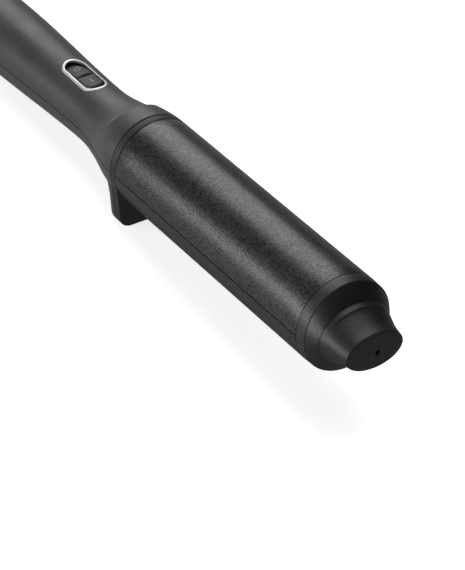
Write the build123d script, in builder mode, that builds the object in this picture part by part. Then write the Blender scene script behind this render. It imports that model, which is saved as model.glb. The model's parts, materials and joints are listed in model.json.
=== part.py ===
from build123d import *

import os
from math import acos, atan2, cos, degrees, hypot, radians, sin

os.makedirs("parts", exist_ok=True)

# A curling wand with a 50 mm barrel, lying as it rests on a table: on the foot of its stand
# and on the rear end of its handle, so its axis rises a few degrees towards the tip.
# Along the wand, x is measured from the barrel's root towards the tip, z towards the switch.

# ---- driving dimensions, millimetres ----
barrel_r = 25.0
barrel_end = 167.3
shell_wall = 0.7
shell_gap = 0.12  # half of the seam between the two barrel shells
band_end = 173.7
band_r = 24.7
cone_end = 179.7
cone_half_width = 20.5
cone_half_height = 16.4
tip_end = 196.6
tip_half_width = 16.3
tip_half_height = 9.9

plate = 4.5  # thickness of the front bulkhead, and so of the foot's flat face
seam = 0.25  # visible gap between separate mouldings
wall = 3.0  # housing wall
fit = 0.1  # clearance between pieces that are fixed together
handle_end = -178.0
rear_r = 19.8
end_round = 8.0
fin_rear = -9.6
stand_h = 33.2  # from the wand's axis down to the foot's front edge
stand_top_y = 24.2
stand_low_y = 22.3
stand_corner = 6.5

switch_x = -72.2
ring_rear = -89.3
ring_front = -55.1
ring_half = 7.55
ring_wide = 1.8
ring_proud = 0.15
ring_deep = 1.4
pivot_z = 10.5
throw = 11.0  # full travel of the rocker, degrees

# outside of the handle: distance along the wand and radius
handle_profile = [
    (-155, rear_r),
    (-140, 19.6),
    (-125, 19.1),
    (-110, 18.55),
    (-95, 17.9),
    (-80, 17.4),
    (-66, 17.0),
    (-56, 16.95),
    (-50, 17.15),
    (-44, 17.75),
    (-38, 18.8),
    (-31, 20.2),
    (-24, 22.0),
    (-18.5, 23.4),
    (-13, 24.4),
    (-8, 24.85),
    (-plate, barrel_r),
]

# ---- resting attitude ----
# The table touches the foot's front edge and the rounded rear end of the handle.
arm_z = stand_h - (rear_r - end_round)
arm_x = -(handle_end + end_round)
tilt = degrees(acos(end_round / hypot(arm_x, arm_z)) - atan2(arm_x, arm_z))
foot_length = plate / cos(radians(tilt))

along = Vector(cos(radians(tilt)), 0, sin(radians(tilt)))
upward = Vector(-sin(radians(tilt)), 0, cos(radians(tilt)))
root = Vector(foot_length / 2, 0, 0) + upward * stand_h


def at(x, y=0.0, z=0.0):
    """A place on the wand, in the part's own frame."""
    return root + along * x + Vector(0, y, 0) + upward * z


def across(x):
    """Plane across the wand: sketch x is the wand's y, sketch y is the wand's z."""
    return Plane(origin=at(x), x_dir=(0, 1, 0), z_dir=along)


def lying(z):
    """Plane along the wand at height z: sketch x along the wand, sketch y across it."""
    return Plane(origin=at(0, 0, z), x_dir=along, z_dir=upward)


def upright(y=0.0):
    """Plane along the wand, standing: sketch x along the wand, sketch y is its height."""
    return Plane(origin=at(0, y), x_dir=along, z_dir=(0, -1, 0))


wand_axis = Axis(tuple(root), tuple(along))


def save(piece, name):
    """Label a finished piece and write its file."""
    piece.part.label = name
    export_step(piece.part, "parts/" + name + ".step")


def turned(points):
    """Solid of revolution about the wand's axis, from (x, r) points in order."""
    with BuildPart() as body:
        with BuildSketch(upright()):
            with BuildLine():
                Polyline(points, close=True)
            make_face()
        revolve(axis=wand_axis)
    return body.part


def block(x0, x1, y0, y1, z0, z1):
    """Plain block on the wand, from its limits."""
    with BuildPart() as body:
        with BuildSketch(lying(z0)):
            with Locations(((x0 + x1) / 2, (y0 + y1) / 2)):
                Rectangle(x1 - x0, y1 - y0)
        extrude(amount=z1 - z0)
    return body.part


def post(x, y, r, z0, z1):
    """Round post that stands on the wand."""
    with BuildPart() as body:
        with BuildSketch(lying(z0)):
            with Locations((x, y)):
                Circle(r)
        extrude(amount=z1 - z0)
    return body.part


def handle_body(grow, rear=handle_end, front=-plate - seam):
    """The handle's outer form, grown by a distance and cut at both ends."""
    with BuildPart() as body:
        with BuildSketch(upright()):
            with BuildLine():
                flank = Spline([(x, r + grow) for x, r in handle_profile])
                Polyline(
                    flank @ 1,
                    (-plate, 0),
                    (rear, 0),
                    (rear, rear_r + grow - end_round),
                )
                RadiusArc(
                    (rear, rear_r + grow - end_round),
                    (rear + end_round, rear_r + grow),
                    end_round,
                )
                Line((rear + end_round, rear_r + grow), flank @ 0)
            make_face()
        revolve(axis=wand_axis)
        split(bisect_by=across(front), keep=Keep.BOTTOM)
    return body.part


def collar_outline(shrink=0.0):
    """Front outline: the collar's circle with the stand below it."""
    with BuildSketch() as shape:
        Circle(barrel_r - shrink)
        with BuildSketch(mode=Mode.PRIVATE) as foot:
            with BuildLine():
                Polyline(
                    (-stand_top_y + shrink, -5),
                    (-stand_low_y + shrink, -stand_h + shrink),
                    (stand_low_y - shrink, -stand_h + shrink),
                    (stand_top_y - shrink, -5),
                    close=True,
                )
            make_face()
            fillet(foot.vertices().group_by(Axis.Y)[0], stand_corner - shrink)
        add(foot.sketch)
    return shape.sketch


def switch_outline(shrink, front_gap=0.0, rear_gap=0.0):
    """Plan of the switch: straight sides with round ends."""
    rear = ring_rear + shrink + rear_gap
    front = ring_front - shrink - front_gap
    with BuildSketch() as shape:
        with Locations(((rear + front) / 2, 0)):
            SlotOverall(front - rear, 2 * (ring_half - shrink))
    return shape.sketch


# ---- housing ----
housing_reach = 60  # larger than the handle's section
rear_wall = handle_end + wall + 0.6
inside = handle_body(-wall, rear=rear_wall, front=10)
screw_places = (-141.0, -38.0)
post_r = 3.4
post_top = 17.4  # inside the wall at both screws
screw_r = 1.5
head_r = 2.9
head_deck = -11.0
gland_neck = 7.0
tray_low = -3.8
tray_top = -1.6

with BuildPart() as upper_housing:
    add(handle_body(0))
    add(inside, mode=Mode.SUBTRACT)
    split(bisect_by=lying(0.05), keep=Keep.TOP)
    for x in screw_places:
        with BuildSketch(lying(tray_top + fit)):
            with Locations((x, 0)):
                Circle(post_r)
        extrude(amount=post_top - tray_top - fit)
        with BuildSketch(lying(tray_top)):
            with Locations((x, 0)):
                Circle(screw_r + 0.03)
        extrude(amount=11.5, mode=Mode.SUBTRACT)
    with BuildSketch(across(handle_end - 1)):
        Circle(gland_neck)
    extrude(amount=wall + 3, mode=Mode.SUBTRACT)
    # the switch's opening, and the shallow recess that the bezel sits in
    with BuildSketch(lying(11)):
        add(switch_outline(ring_wide))
    extrude(amount=10, mode=Mode.SUBTRACT)
    with BuildSketch(lying(11)):
        add(switch_outline(-seam))
    recess = extrude(amount=10, mode=Mode.PRIVATE)
    add(recess - handle_body(-ring_deep), mode=Mode.SUBTRACT)
save(upper_housing, "upper_housing")

with BuildPart() as lower_housing:
    add(handle_body(0))
    # the stand's fin behind the bulkhead, its bottom drawn up towards the rear
    with BuildPart(mode=Mode.PRIVATE) as fin:
        with BuildSketch(across(fin_rear)):
            add(collar_outline())
        extrude(amount=-fin_rear - plate - seam)
        with BuildSketch(upright(-housing_reach / 2)):
            with BuildLine():
                Polyline((-plate, -stand_h + 0.5), (-plate, 26), (fin_rear - 1, 26))
                Polyline((fin_rear - 1, 26), (fin_rear - 1, -stand_h + 4))
                ThreePointArc(
                    (fin_rear - 1, -stand_h + 4),
                    (fin_rear + 1.6, -stand_h + 1.3),
                    (-plate, -stand_h + 0.5),
                )
            make_face()
        extrude(amount=-housing_reach, mode=Mode.INTERSECT)
        fillet(fin.faces().sort_by(wand_axis)[0].edges(), 1.4)
    add(fin.part)
    # a web under the flare carries the fin
    with BuildSketch(upright(-2)):
        with BuildLine():
            Polyline((fin_rear + 1, -stand_h + 7), (fin_rear + 1, -20), (-24, -20))
            ThreePointArc(
                (-24, -20), (fin_rear - 4.2, -stand_h + 9.4), (fin_rear + 1, -stand_h + 7)
            )
        make_face()
    extrude(amount=-4)
    split(bisect_by=lying(-0.05), keep=Keep.BOTTOM)
    add(inside, mode=Mode.SUBTRACT)
    with BuildSketch(across(handle_end - 1)):
        Circle(gland_neck)
    extrude(amount=wall + 3, mode=Mode.SUBTRACT)
    for x in screw_places:
        with BuildSketch(lying(-post_top)):
            with Locations((x, 0)):
                Circle(post_r + 0.4)
        extrude(amount=post_top + tray_low - fit)
        with BuildSketch(lying(-housing_reach / 2)):
            with Locations((x, 0)):
                Circle(screw_r + 0.1)
        extrude(amount=housing_reach / 2, mode=Mode.SUBTRACT)
        with BuildSketch(lying(-housing_reach / 2)):
            with Locations((x, 0)):
                Circle(head_r + 0.2)
        extrude(amount=housing_reach / 2 + head_deck, mode=Mode.SUBTRACT)
save(lower_housing, "lower_housing")

with BuildPart() as housing_screws:
    for x in screw_places:
        with BuildSketch(lying(head_deck - 2)):
            with Locations((x, 0)):
                Circle(head_r)
        extrude(amount=2 - 0.05)
        with BuildSketch(lying(head_deck - 0.1)):
            with Locations((x, 0)):
                Circle(screw_r)
        extrude(amount=19)
        with BuildSketch(lying(head_deck - 2)):
            with Locations((x, 0)):
                Rectangle(3.4, 0.8)
                Rectangle(0.8, 3.4)
        extrude(amount=1, mode=Mode.SUBTRACT)
save(housing_screws, "housing_screws")

# ---- front bulkhead, with the stand's front face ----
neck_r = 17.5
spigot_out = barrel_r - wall - 0.25

with BuildPart() as front_bulkhead:
    with BuildSketch(across(-plate)):
        add(collar_outline())
    extrude(amount=plate)
    split(bisect_by=Plane.XY, keep=Keep.TOP)
    fillet(front_bulkhead.faces().sort_by(wand_axis)[-1].edges().sort_by(Axis.Z)[1:], 0.4)
    with BuildSketch(across(-plate - 3)):
        Circle(spigot_out)
    extrude(amount=3)
    with BuildSketch(across(-plate - 4)):
        Circle(neck_r + fit)
    extrude(amount=plate + 5, mode=Mode.SUBTRACT)
save(front_bulkhead, "front_bulkhead")

# ---- switch ----
with BuildPart() as switch_bezel:
    with BuildSketch(lying(11)):
        add(switch_outline(0))
        add(switch_outline(ring_wide), mode=Mode.SUBTRACT)
    extrude(amount=10)
    add(handle_body(ring_proud), mode=Mode.INTERSECT)
    add(handle_body(-ring_deep + 0.02), mode=Mode.SUBTRACT)
save(switch_bezel, "switch_bezel")

# The rocker is drawn level in its own plane, which leans back to press the O end.
lean = radians(-throw / 2)
rocker_x = along * cos(lean) - upward * sin(lean)
rocker_z = upward * cos(lean) + along * sin(lean)
pivot = at(switch_x, 0, pivot_z)


def rocker_side(half_width):
    """The rocker's side plane; what is sketched here is extruded towards its middle."""
    return Plane(origin=pivot + Vector(0, half_width, 0), x_dir=rocker_x, z_dir=(0, -1, 0))


def rocker_level(height):
    """Plane level with the rocker, measured from its pivot."""
    return Plane(origin=pivot + rocker_z * height, x_dir=(0, 1, 0), z_dir=rocker_z)


trunnion_r = 1.3
ear_in = 5.85
ear_out = 7.15
hub_half = 4.6
plunger_r = 1.3
rocker_crown = 16.75
crown_centre = -9.6

with BuildPart() as rocker:
    with BuildSketch(lying(8)):
        add(switch_outline(ring_wide + 0.2, front_gap=1.1, rear_gap=0.2))
    extrude(amount=12)
    with BuildSketch(rocker_side(10)):
        with BuildLine():
            Polyline(
                (-15, 2.6),
                (15, 2.6),
                (15, 5.6),
                (13, 5.7),
                (7, 5.7),
                (1.5, 6.1),
                (1.3, 7.1),
                (-8, 6.3),
                (-13, 6.05),
                (-15, 6.0),
                close=True,
            )
        make_face()
    extrude(amount=20, mode=Mode.INTERSECT)
    crown_axis = pivot + rocker_z * crown_centre
    with BuildSketch(Plane(origin=crown_axis, x_dir=(0, 1, 0), z_dir=rocker_x)):
        Circle(rocker_crown)
    extrude(amount=20, both=True, mode=Mode.INTERSECT)
    with BuildSketch(rocker_side(hub_half)):
        Rectangle(6, 2 * 3.2)
    extrude(amount=2 * hub_half)
    with BuildSketch(rocker_side(ear_out - 0.1)):
        Circle(trunnion_r)
    extrude(amount=2 * (ear_out - 0.1))
    with BuildSketch(rocker_level(-4)):
        Circle(plunger_r + 0.1)
    extrude(amount=6, mode=Mode.SUBTRACT)
save(rocker, "rocker")

with BuildPart() as switch_plunger:
    with BuildSketch(rocker_level(-3.95)):
        Circle(plunger_r)
    extrude(amount=3.4)
    fillet(switch_plunger.edges().group_by(Axis.Z)[0], 0.8)
save(switch_plunger, "switch_plunger")

with BuildPart() as plunger_spring:
    spring_low = -0.25
    spring_length = 2.2
    with BuildLine(rocker_level(spring_low)):
        coil = Helix(pitch=0.8, height=spring_length - 0.4, radius=0.9)
    with BuildSketch(Plane(origin=coil @ 0, z_dir=coil % 0)):
        Circle(0.16)
    sweep(path=coil, is_frenet=True)
save(plunger_spring, "plunger_spring")

body_low = 3.2
body_top = 9.4
with BuildPart() as switch_body:
    add(block(-84, -60.4, -ear_out, ear_out, body_low, body_top))
    for side in (-1, 1):
        y = side * (ear_in + ear_out) / 2
        with BuildSketch(lying(body_top - 1)):
            with Locations((switch_x, y)):
                Rectangle(5, ear_out - ear_in)
        extrude(amount=12.1 - body_top + 1)
    add(block(-82.6, -61.8, -ear_in, ear_in, body_low + 1.2, 20), mode=Mode.SUBTRACT)
    with BuildSketch(Plane(origin=at(switch_x, 10, pivot_z), x_dir=along, z_dir=(0, -1, 0))):
        Circle(trunnion_r + 0.06)
    extrude(amount=20, mode=Mode.SUBTRACT)
    for x in (switch_x - 7.5, switch_x, switch_x + 7.5):
        add(block(x - 0.5, x + 0.5, -1.7, 1.7, body_low - 1, body_low + 3), mode=Mode.SUBTRACT)
save(switch_body, "switch_body")

with BuildPart() as switch_terminals:
    for x, top in ((switch_x - 7.5, 5.0), (switch_x, 5.75), (switch_x + 7.5, 5.0)):
        add(block(x - 0.4, x + 0.4, -1.6, 1.6, 2.05, top))
save(switch_terminals, "switch_terminals")

# The seesaw leans the other way from the rocker.
blade_lean = radians(5)
blade_x = along * cos(blade_lean) - upward * sin(blade_lean)
blade_hinge = at(switch_x, 0, 5.85)
with BuildPart() as contact_blade:
    blade_edge = blade_hinge + Vector(0, 2.5, 0)
    with BuildSketch(Plane(origin=blade_edge, x_dir=blade_x, z_dir=(0, -1, 0))):
        with Locations((0, 0.3)):
            Rectangle(18, 0.5)
    extrude(amount=5)
save(contact_blade, "contact_blade")

# ---- chassis, board and what stands on it ----
tray_half = 13.5
disc_rear = -22.4
disc_front = -19.8

with BuildPart() as chassis:
    add(block(-147, disc_front, -tray_half, tray_half, tray_low, tray_top))
    for side in (-1, 1):
        y = side * (tray_half - 0.7)
        add(block(-130, -50, y - 0.6, y + 0.6, tray_low, 1.5))
    with BuildSketch(across(disc_rear)):
        Circle(18.5)
    extrude(amount=disc_front - disc_rear)
    with BuildSketch(across(disc_rear - 1)):
        Circle(9)
        with Locations((-15.8, 0), (15.8, 0)):
            Circle(screw_r + 0.1)
    extrude(amount=6, mode=Mode.SUBTRACT)
    for x in screw_places:
        add(post(x, 0, screw_r + 0.15, tray_low - 1, tray_top + 1), mode=Mode.SUBTRACT)
    add(handle_body(-wall - 0.15), mode=Mode.INTERSECT)
    for x in (-124, -56):
        for y in (-8, 8):
            add(post(x, y, 1.8, tray_top, 0.35))
save(chassis, "chassis")

board_top = 2.0
with BuildPart() as control_board:
    add(block(-128, -50, -11, 11, 0.4, board_top))
    for x in (-126, -52):
        for y in (-9, 9):
            add(post(x, y, 1.1, 0, 3), mode=Mode.SUBTRACT)
save(control_board, "control_board")

deck = board_top + 0.03
with BuildPart() as filter_capacitor:
    add(block(-106, -91, -7.5, -1, deck, 12))
    fillet(filter_capacitor.edges().filter_by(Axis(tuple(root), tuple(upward))), 1)
save(filter_capacitor, "filter_capacitor")

with BuildPart() as relay:
    add(block(-106, -90, 0.5, 9, deck, 10.8))
    chamfer(relay.faces().sort_by(Axis.Z)[-1].edges(), 0.4)
save(relay, "relay")

with BuildPart() as buzzer:
    add(post(-112.4, -5, 4.3, deck, 6.2))
    add(post(-112.4, -5, 0.8, 4, 7), mode=Mode.SUBTRACT)
save(buzzer, "buzzer")

with BuildPart() as controller_chip:
    add(block(-116, -109, 2, 9, deck, 3.4))
save(controller_chip, "controller_chip")

with BuildPart() as heat_sink:
    add(block(-126.5, -118.5, -8.5, 8.5, deck, 5.5))
    for y in (-8, -4, 0, 4, 8):
        tall = 11.5 if abs(y) < 5 else 10
        add(block(-126.5, -118.5, y - 0.5, y + 0.5, 5, tall))
save(heat_sink, "heat_sink")

with BuildPart() as power_triac:
    add(block(-118.4, -117.2, -5, 5, deck, 10))
save(power_triac, "power_triac")

# ---- barrel ----
seat_r = barrel_r - shell_wall - fit
flange_r = 18.0
sleeve_end = 12.0
beam_r = 15.5
beam_end = 170.0
spigot_start = 169.0  # rear end of the shoulder's spigot inside the end band

with BuildPart() as barrel_carrier:
    add(
        turned(
            [
                (disc_front + fit, 14),
                (disc_front + fit, flange_r),
                (disc_front + 3.1, flange_r),
                (disc_front + 3.1, neck_r),
                (0.05, neck_r),
                (0.05, seat_r),
                (sleeve_end, seat_r),
                (sleeve_end, seat_r - 1.5),
                (2.5, seat_r - 1.5),
                (2.5, beam_r),
                (sleeve_end, beam_r),
                (sleeve_end, 14),
            ]
        )
    )
    with BuildSketch(across(disc_front)):
        with Locations((-15.8, 0), (15.8, 0)):
            Circle(screw_r - 0.2)
    extrude(amount=12, mode=Mode.SUBTRACT)
save(barrel_carrier, "barrel_carrier")

with BuildPart() as carrier_screws:
    for y in (-15.8, 15.8):
        with BuildSketch(across(disc_rear - 1.65)):
            with Locations((y, 0)):
                Circle(2.0)
        extrude(amount=1.6)
        with BuildSketch(across(disc_rear - 1)):
            with Locations((y, 0)):
                Circle(screw_r - 0.25)
        extrude(amount=11)
save(carrier_screws, "carrier_screws")


def barrel_shell(start, name, keep, cut):
    """One half of the coated barrel."""
    with BuildPart() as shell:
        with BuildSketch(across(start)):
            Circle(barrel_r)
            Circle(barrel_r - shell_wall, mode=Mode.SUBTRACT)
        extrude(amount=barrel_end - seam - start)
        split(bisect_by=lying(cut), keep=keep)
    save(shell, name)


barrel_shell(0.5, "barrel_upper_shell", Keep.TOP, shell_gap)
barrel_shell(0.12, "barrel_lower_shell", Keep.BOTTOM, -shell_gap)

with BuildPart() as end_band:
    add(
        turned(
            [
                (161, 23.0),
                (161, seat_r),
                (barrel_end, seat_r),
                (barrel_end, barrel_r),
                (band_end - 0.25, band_r + 0.05),
                (band_end, band_r - 0.2),
                (band_end, 23.0),
            ]
        )
    )
save(end_band, "end_band")

with BuildPart() as end_cap:
    # shoulder: round at the band, oval where the tip begins
    with BuildSketch(across(band_end + fit)):
        Circle(band_r - 0.5)
    with BuildSketch(across(band_end + 3.0)):
        Ellipse(22.7, 20.8)
    with BuildSketch(across(cone_end - 0.1)):
        Ellipse(cone_half_width, cone_half_height)
    loft()
    with BuildSketch(across(spigot_start)):
        Circle(22.9)
    extrude(amount=band_end + fit - spigot_start)
    # hollow behind, with a seat for the beam's end and a hole for the screw
    hollow = turned(
        [
            (spigot_start, 0),
            (cone_end - 0.1, 0),
            (cone_end - 0.1, 3),
            (cone_end - 1.9, 3),
            (cone_end - 1.9, 14.0),
            (beam_end + fit, 14.0),
            (beam_end + fit, beam_r),
            (cone_end - 2.2, beam_r),
            (cone_end - 2.6, 16.6),
            (band_end + 0.6, 21.4),
            (spigot_start, 21.4),
        ]
    )
    add(hollow, mode=Mode.SUBTRACT)
save(end_cap, "end_cap")

with BuildPart() as cool_tip:
    sections = (
        (cone_end + 0.1, cone_half_width, cone_half_height, 0.0),
        (182.4, 19.5, 14.9, 0.0),
        (186.5, 18.2, 12.6, -0.2),
        (191.5, 17.0, 10.9, -0.6),
        (tip_end, tip_half_width, tip_half_height, -0.84),
    )
    hollow_sections = (
        (cone_end, 18.0, 13.8, 0.0),
        (186.0, 15.8, 10.3, -0.2),
        (193.6, 14.2, 8.2, -0.7),
    )
    for x, half_y, half_z, mid in sections:
        with BuildSketch(across(x)):
            with Locations((0, mid)):
                Ellipse(half_y, half_z)
    loft()
    fillet(cool_tip.faces().sort_by(wand_axis)[-1].edges(), 0.5)
    # hollow behind, with a boss for the screw
    for x, half_y, half_z, mid in hollow_sections:
        with BuildSketch(across(x)):
            with Locations((0, mid)):
                Ellipse(half_y, half_z)
    loft(mode=Mode.SUBTRACT)
    with BuildSketch(across(cone_end + 0.1)):
        Circle(4)
    extrude(amount=14.5)
    with BuildSketch(across(cone_end)):
        Circle(screw_r + 0.03)
    extrude(amount=11, mode=Mode.SUBTRACT)
    with BuildSketch(across(tip_end - 2)):
        with Locations((2.0, -2.4)):
            Circle(1.5)
    extrude(amount=4, mode=Mode.SUBTRACT)
save(cool_tip, "cool_tip")

with BuildPart() as tip_screw:
    add(
        turned(
            [
                (cone_end - 4.0, 0),
                (cone_end - 4.0, 3.8),
                (cone_end - 2.0, 3.8),
                (cone_end - 2.0, screw_r),
                (190, screw_r),
                (190.6, 0),
            ]
        )
    )
save(tip_screw, "tip_screw")

# ---- heater ----
heater_start = 22.0
heater_end = 134.0
land = 22.4
beam_half = 15.2
plate_t = 1.0
film_t = 0.2


def land_above(side, name):
    """Aluminium segment between a heater plate and its shell."""
    with BuildPart() as segment:
        with BuildSketch(across(heater_start)):
            Circle(seat_r)
        extrude(amount=heater_end - heater_start)
        keep = Keep.TOP if side > 0 else Keep.BOTTOM
        split(bisect_by=lying(side * land), keep=keep)
    save(segment, name)


land_above(1, "heat_spreader_upper")
land_above(-1, "heat_spreader_lower")

with BuildPart() as heater_plates:
    for side in (1, -1):
        low = min(side * (land - 0.02), side * (land - plate_t))
        add(block(heater_start, heater_end, -6, 6, low, low + plate_t - 0.02))
save(heater_plates, "heater_plates")

with BuildPart() as heater_films:
    for side in (1, -1):
        top = land - plate_t - 0.02
        low = min(side * top, side * (top - film_t))
        add(block(heater_start, heater_end + 2, -7, 7, low, low + film_t))
save(heater_films, "heater_films")

film_low = land - plate_t - 0.02 - film_t
with BuildPart() as heater_springs:
    for side in (1, -1):
        for x in (40, 78, 116):
            foot = beam_half + 0.05
            with BuildSketch(upright(4)):
                with BuildLine():
                    outer = ThreePointArc(
                        (x - 14, side * foot),
                        (x, side * (film_low - 0.03)),
                        (x + 14, side * foot),
                    )
                    Line(outer @ 1, (x + 13.3, side * foot))
                    inner = ThreePointArc(
                        (x + 13.3, side * foot),
                        (x, side * (film_low - 0.35)),
                        (x - 13.3, side * foot),
                    )
                    Line(inner @ 1, outer @ 0)
                make_face()
            extrude(amount=8)
save(heater_springs, "heater_springs")

with BuildPart() as heater_spine:
    add(block(sleeve_end + fit, beam_end, -0.7, 0.7, -beam_half, beam_half))
    for side in (1, -1):
        low = min(side * beam_half, side * (beam_half - 1.2))
        add(block(sleeve_end + fit, beam_end, -3.5, 3.5, low, low + 1.2))
    for x in (30, 52, 74, 96, 118, 140):
        with BuildSketch(upright(5)):
            with Locations((x, 0)):
                SlotOverall(19, 15)
        extrude(amount=10, mode=Mode.SUBTRACT)
save(heater_spine, "heater_spine")

with BuildPart() as thermistor:
    with BuildSketch(across(88)):
        with Locations((3.2, 12.4)):
            Circle(1.2)
    extrude(amount=5)
    fillet(thermistor.edges(), 0.5)
save(thermistor, "thermistor")

with BuildPart() as thermal_fuse:
    with BuildSketch(across(60)):
        with Locations((-3.2, 11.8)):
            Circle(1.9)
    extrude(amount=11)
    chamfer(thermal_fuse.edges(), 0.4)
save(thermal_fuse, "thermal_fuse")

# ---- wires that the pieces hold all the way ----
lead_r = 0.8
with BuildPart() as heater_leads:
    for side, start in ((1, 3.0), (-1, -0.6)):
        for y in (-5, 5):
            with BuildLine(upright(y)):
                route = FilletPolyline(
                    (-52, start),
                    (-16, start),
                    (3, side * 10.2),
                    (14.5, side * 11.6),
                    (heater_start - 1, side * (land - 2)),
                    radius=5,
                )
            with BuildSketch(Plane(origin=route @ 0, z_dir=route % 0)):
                Circle(lead_r)
            sweep(path=route)
save(heater_leads, "heater_leads")

with BuildPart() as mains_leads:
    for y in (-7.8, 7.8):
        with BuildSketch(across(-156)):
            with Locations((y, 0.6)):
                Circle(lead_r)
        extrude(amount=27.9)
save(mains_leads, "mains_leads")

# ---- cord swivel and its contacts ----
shaft_r = 4.0
cord_r = 3.4
ring_places = (-162.5, -155.5)
ring_half_width = 1.4
ring_r = 6.4
flange_half = 10.0  # fits inside the rounded rear end

with BuildPart() as cord_swivel:
    add(
        turned(
            [
                (handle_end - 8, cord_r),
                (handle_end - 8, 6.0),
                (handle_end - 7.2, 6.8),
                (handle_end - 1.4, 8.6),
                (handle_end - 0.15, 8.6),
                (handle_end - 0.15, gland_neck - 0.06),
                (rear_wall + 0.12, gland_neck - 0.06),
                (rear_wall + 0.12, flange_half),
                (rear_wall + 3.2, flange_half),
                (rear_wall + 3.2, shaft_r),
                (-149.6, shaft_r),
                (-149.6, shaft_r - 0.6),
                (-148.8, shaft_r - 0.6),
                (-148.8, shaft_r),
                (-147.4, shaft_r),
                (-147.4, 2.0),
                (handle_end + 7, 2.0),
                (handle_end + 7, cord_r),
            ]
        )
    )
save(cord_swivel, "cord_swivel")

with BuildPart() as slip_rings:
    for x in ring_places:
        add(
            turned(
                [
                    (x - ring_half_width, shaft_r + 0.02),
                    (x - ring_half_width, ring_r),
                    (x + ring_half_width, ring_r),
                    (x + ring_half_width, shaft_r + 0.02),
                ]
            )
        )
save(slip_rings, "slip_rings")

with BuildPart() as swivel_clip:
    add(turned([(-149.5, 3.45), (-149.5, 5.6), (-148.9, 5.6), (-148.9, 3.45)]))
    add(block(-150, -148, -1.6, 1.6, -7, 0), mode=Mode.SUBTRACT)
save(swivel_clip, "swivel_clip")

brush_t = 0.5
with BuildPart() as brush_block:
    add(block(-166, -151.5, -10, 10, -18, -7.2))
    add(handle_body(-wall - 0.05, rear=rear_wall + 0.05), mode=Mode.INTERSECT)
    for x in ring_places:
        for side in (-1, 1):
            y = side * (ring_r + 0.05 + brush_t / 2)
            slot = block(x - 1.15, x + 1.15, y - 0.3, y + 0.3, -11, -6)
            add(slot, mode=Mode.SUBTRACT)
save(brush_block, "brush_block")

with BuildPart() as contact_brushes:
    for x in ring_places:
        for side in (-1, 1):
            y = side * (ring_r + 0.05 + brush_t / 2)
            add(block(x - 1.1, x + 1.1, y - brush_t / 2, y + brush_t / 2, -10.9, 3))
save(contact_brushes, "contact_brushes")

print("tilt", round(tilt, 3), "root", tuple(round(v, 4) for v in root))
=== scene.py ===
import json
from bisect import bisect_right
from math import atan2, cos, degrees, exp, hypot, pi, radians, sin, sqrt, tan

import bmesh
import bpy
from mathutils import Matrix, Vector


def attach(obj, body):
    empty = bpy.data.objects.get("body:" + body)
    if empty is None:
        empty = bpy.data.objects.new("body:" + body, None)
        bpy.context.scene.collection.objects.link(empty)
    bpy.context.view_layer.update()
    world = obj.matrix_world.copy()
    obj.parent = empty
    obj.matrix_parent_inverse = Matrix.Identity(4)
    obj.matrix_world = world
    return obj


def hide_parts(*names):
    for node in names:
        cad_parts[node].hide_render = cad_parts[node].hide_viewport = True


# A curling wand lying on a pale floor. Shapes are drawn in the wand's own frame, in millimetres:
# x runs from the barrel's root towards the tip, z towards the switch, y across. Then they are
# placed in the row frame, in metres, along the axis of the cord swivel's joint.
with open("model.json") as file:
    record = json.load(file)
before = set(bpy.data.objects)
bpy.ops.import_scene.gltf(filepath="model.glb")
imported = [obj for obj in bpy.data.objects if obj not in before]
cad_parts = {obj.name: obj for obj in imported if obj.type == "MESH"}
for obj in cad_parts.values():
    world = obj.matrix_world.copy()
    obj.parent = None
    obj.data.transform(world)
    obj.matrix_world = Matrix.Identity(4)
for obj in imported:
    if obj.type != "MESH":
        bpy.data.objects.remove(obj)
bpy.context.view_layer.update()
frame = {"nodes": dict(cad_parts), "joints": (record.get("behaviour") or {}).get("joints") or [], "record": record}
nodes = frame["nodes"]

# ---- driving dimensions, millimetres ----
BARREL_R = 25.0
BARREL_END = 167.05
SHELL_WALL = 0.7
SHELL_GAP = 0.25  # half of the seam between the barrel's shells
BAND_START = 167.3
BAND_END = 173.7
BAND_R = 24.7
CONE_END = 179.6
CONE_HALF_WIDTH = 20.5
CONE_HALF_HEIGHT = 16.4
CONE_SWELL = 1.2
TIP_START = 179.8
TIP_END = 196.57
TIP_HALF_WIDTH = 16.3
TIP_HALF_HEIGHT = 9.9
TIP_SAG = -0.84  # the end face's centre lies this far off the axis

PLATE = 4.5
SEAM = 0.7
HANDLE_END = -178.0
REAR_R = 19.8
REAR_ROUND = 8.0
HOUSING_WALL = 3.0
GLAND_NECK = 7.0
FIN_REAR = -9.6
STAND_H = 33.2
STAND_TOP_Y = 24.2
STAND_LOW_Y = 22.3
STAND_TOP_Z = -5.0
STAND_CORNER = 6.5

RING_REAR = -89.3
RING_FRONT = -55.1
RING_HALF = 7.4
RING_WIDE = 1.5
PIVOT_X, PIVOT_Z = -72.2, 10.5
ROCKER_LEAN = radians(5.5)
ROCKER_SHRINK = 1.9
STEP_AT = 1.3  # the step across the rocker, ahead of its pivot

ROCKER_DEPTH = 2.2  # from the rocker's face down to its hidden lower edge
ROCKER_CROWN_R = 16.75
ROCKER_EDGE = 0.7

SCREW_PLACES = (-141.0, -38.0)
SCREW_HOLE_R = 3.1
SCREW_SEAT = -11.0
HOLE_Y, HOLE_Z, HOLE_R = 2.0, -2.4, 1.45  # in the tip's end face
LEDGE_X = 182.7  # the step across the tip's top

PARTING = 0.2  # half of the seam between the housing's halves
EDGE_BREAK = 0.12
RING_FIT = 0.2  # gap round the switch ring
CUT_TOP, CUT_BOTTOM = 30.0, -40.0  # above and below every surface of the handle

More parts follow.
